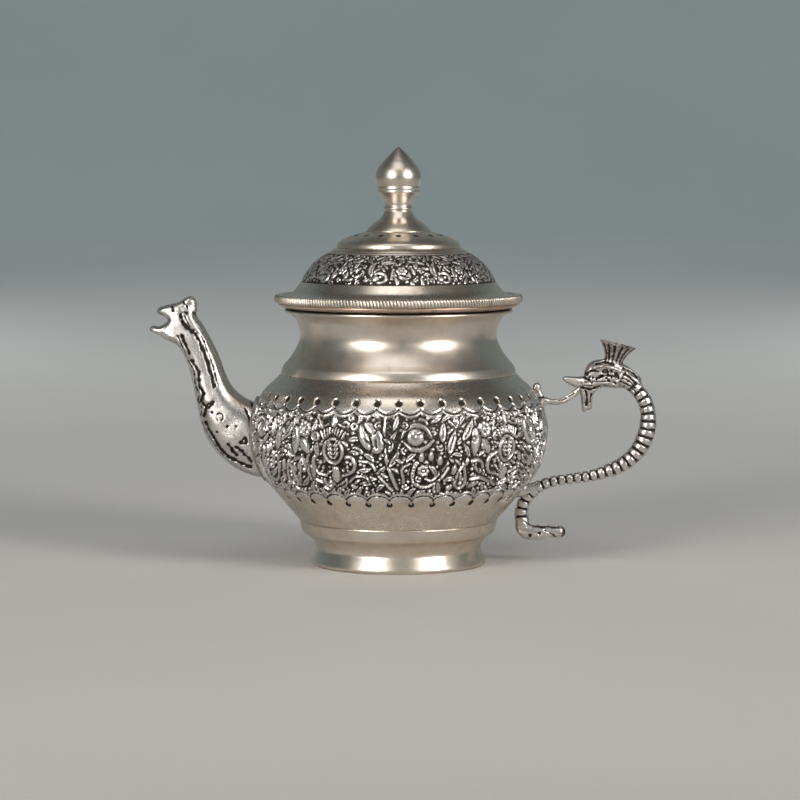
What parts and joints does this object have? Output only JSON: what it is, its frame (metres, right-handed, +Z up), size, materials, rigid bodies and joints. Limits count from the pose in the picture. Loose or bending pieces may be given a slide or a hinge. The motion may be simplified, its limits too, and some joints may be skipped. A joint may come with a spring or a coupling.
{
  "type": "coffee pot",
  "caption": "Footed metal pot with a chased belly, animal-head spout, serpent handle and loose domed lid with an acorn knob.",
  "frame": {"origin": "centre of the foot's flat underside, on the pot's axis", "axes": "+Z up along the pot's axis, -X towards the spout, +X towards the handle"},
  "size_m": [0.2398, 0.1404, 0.1975],
  "materials": {
    "spun_metal": "satin spun nickel silver, lightly aged",
    "chased_metal": "chased nickel silver with a blackened ground",
    "cast_metal": "cast nickel silver with blackened recesses",
    "knurled_metal": "knurled nickel silver wire",
    "solder_metal": "dull soft-solder grey",
    "inner_metal": "dull tinned inside",
    "fastener_metal": "plain turned nickel silver"
  },
  "bodies": {
    "pot": {"foot": "spun_metal", "base_plate": "spun_metal", "belly_floor": "inner_metal", "belly_shell": "chased_metal", "neck_shell": "spun_metal", "mouth_ring": "spun_metal", "spout": "cast_metal", "spout_collar": "solder_metal", "strainer": "inner_metal", "handle": "cast_metal", "handle_tongue": "cast_metal", "handle_lower_pad": "solder_metal"},
    "lid_seat": {"lid_skirt": "spun_metal"},
    "lid": {"lid_dome": "chased_metal", "lid_rim_wire": "knurled_metal", "lid_cap": "spun_metal", "finial": "spun_metal", "finial_stud": "fastener_metal", "finial_washer": "fastener_metal", "finial_nut": "fastener_metal"}
  },
  "joints": [
    {"name": "lid_lift", "type": "slide", "parent": "pot", "child": "lid_seat", "axis": [0, 0, 1], "range_m": [0, 0.07]},
    {"name": "lid_turn", "type": "hinge", "parent": "lid_seat", "child": "lid", "pos_m": [0, 0, 0.1242], "axis": [0, 0, 1], "continuous": true}
  ]
}
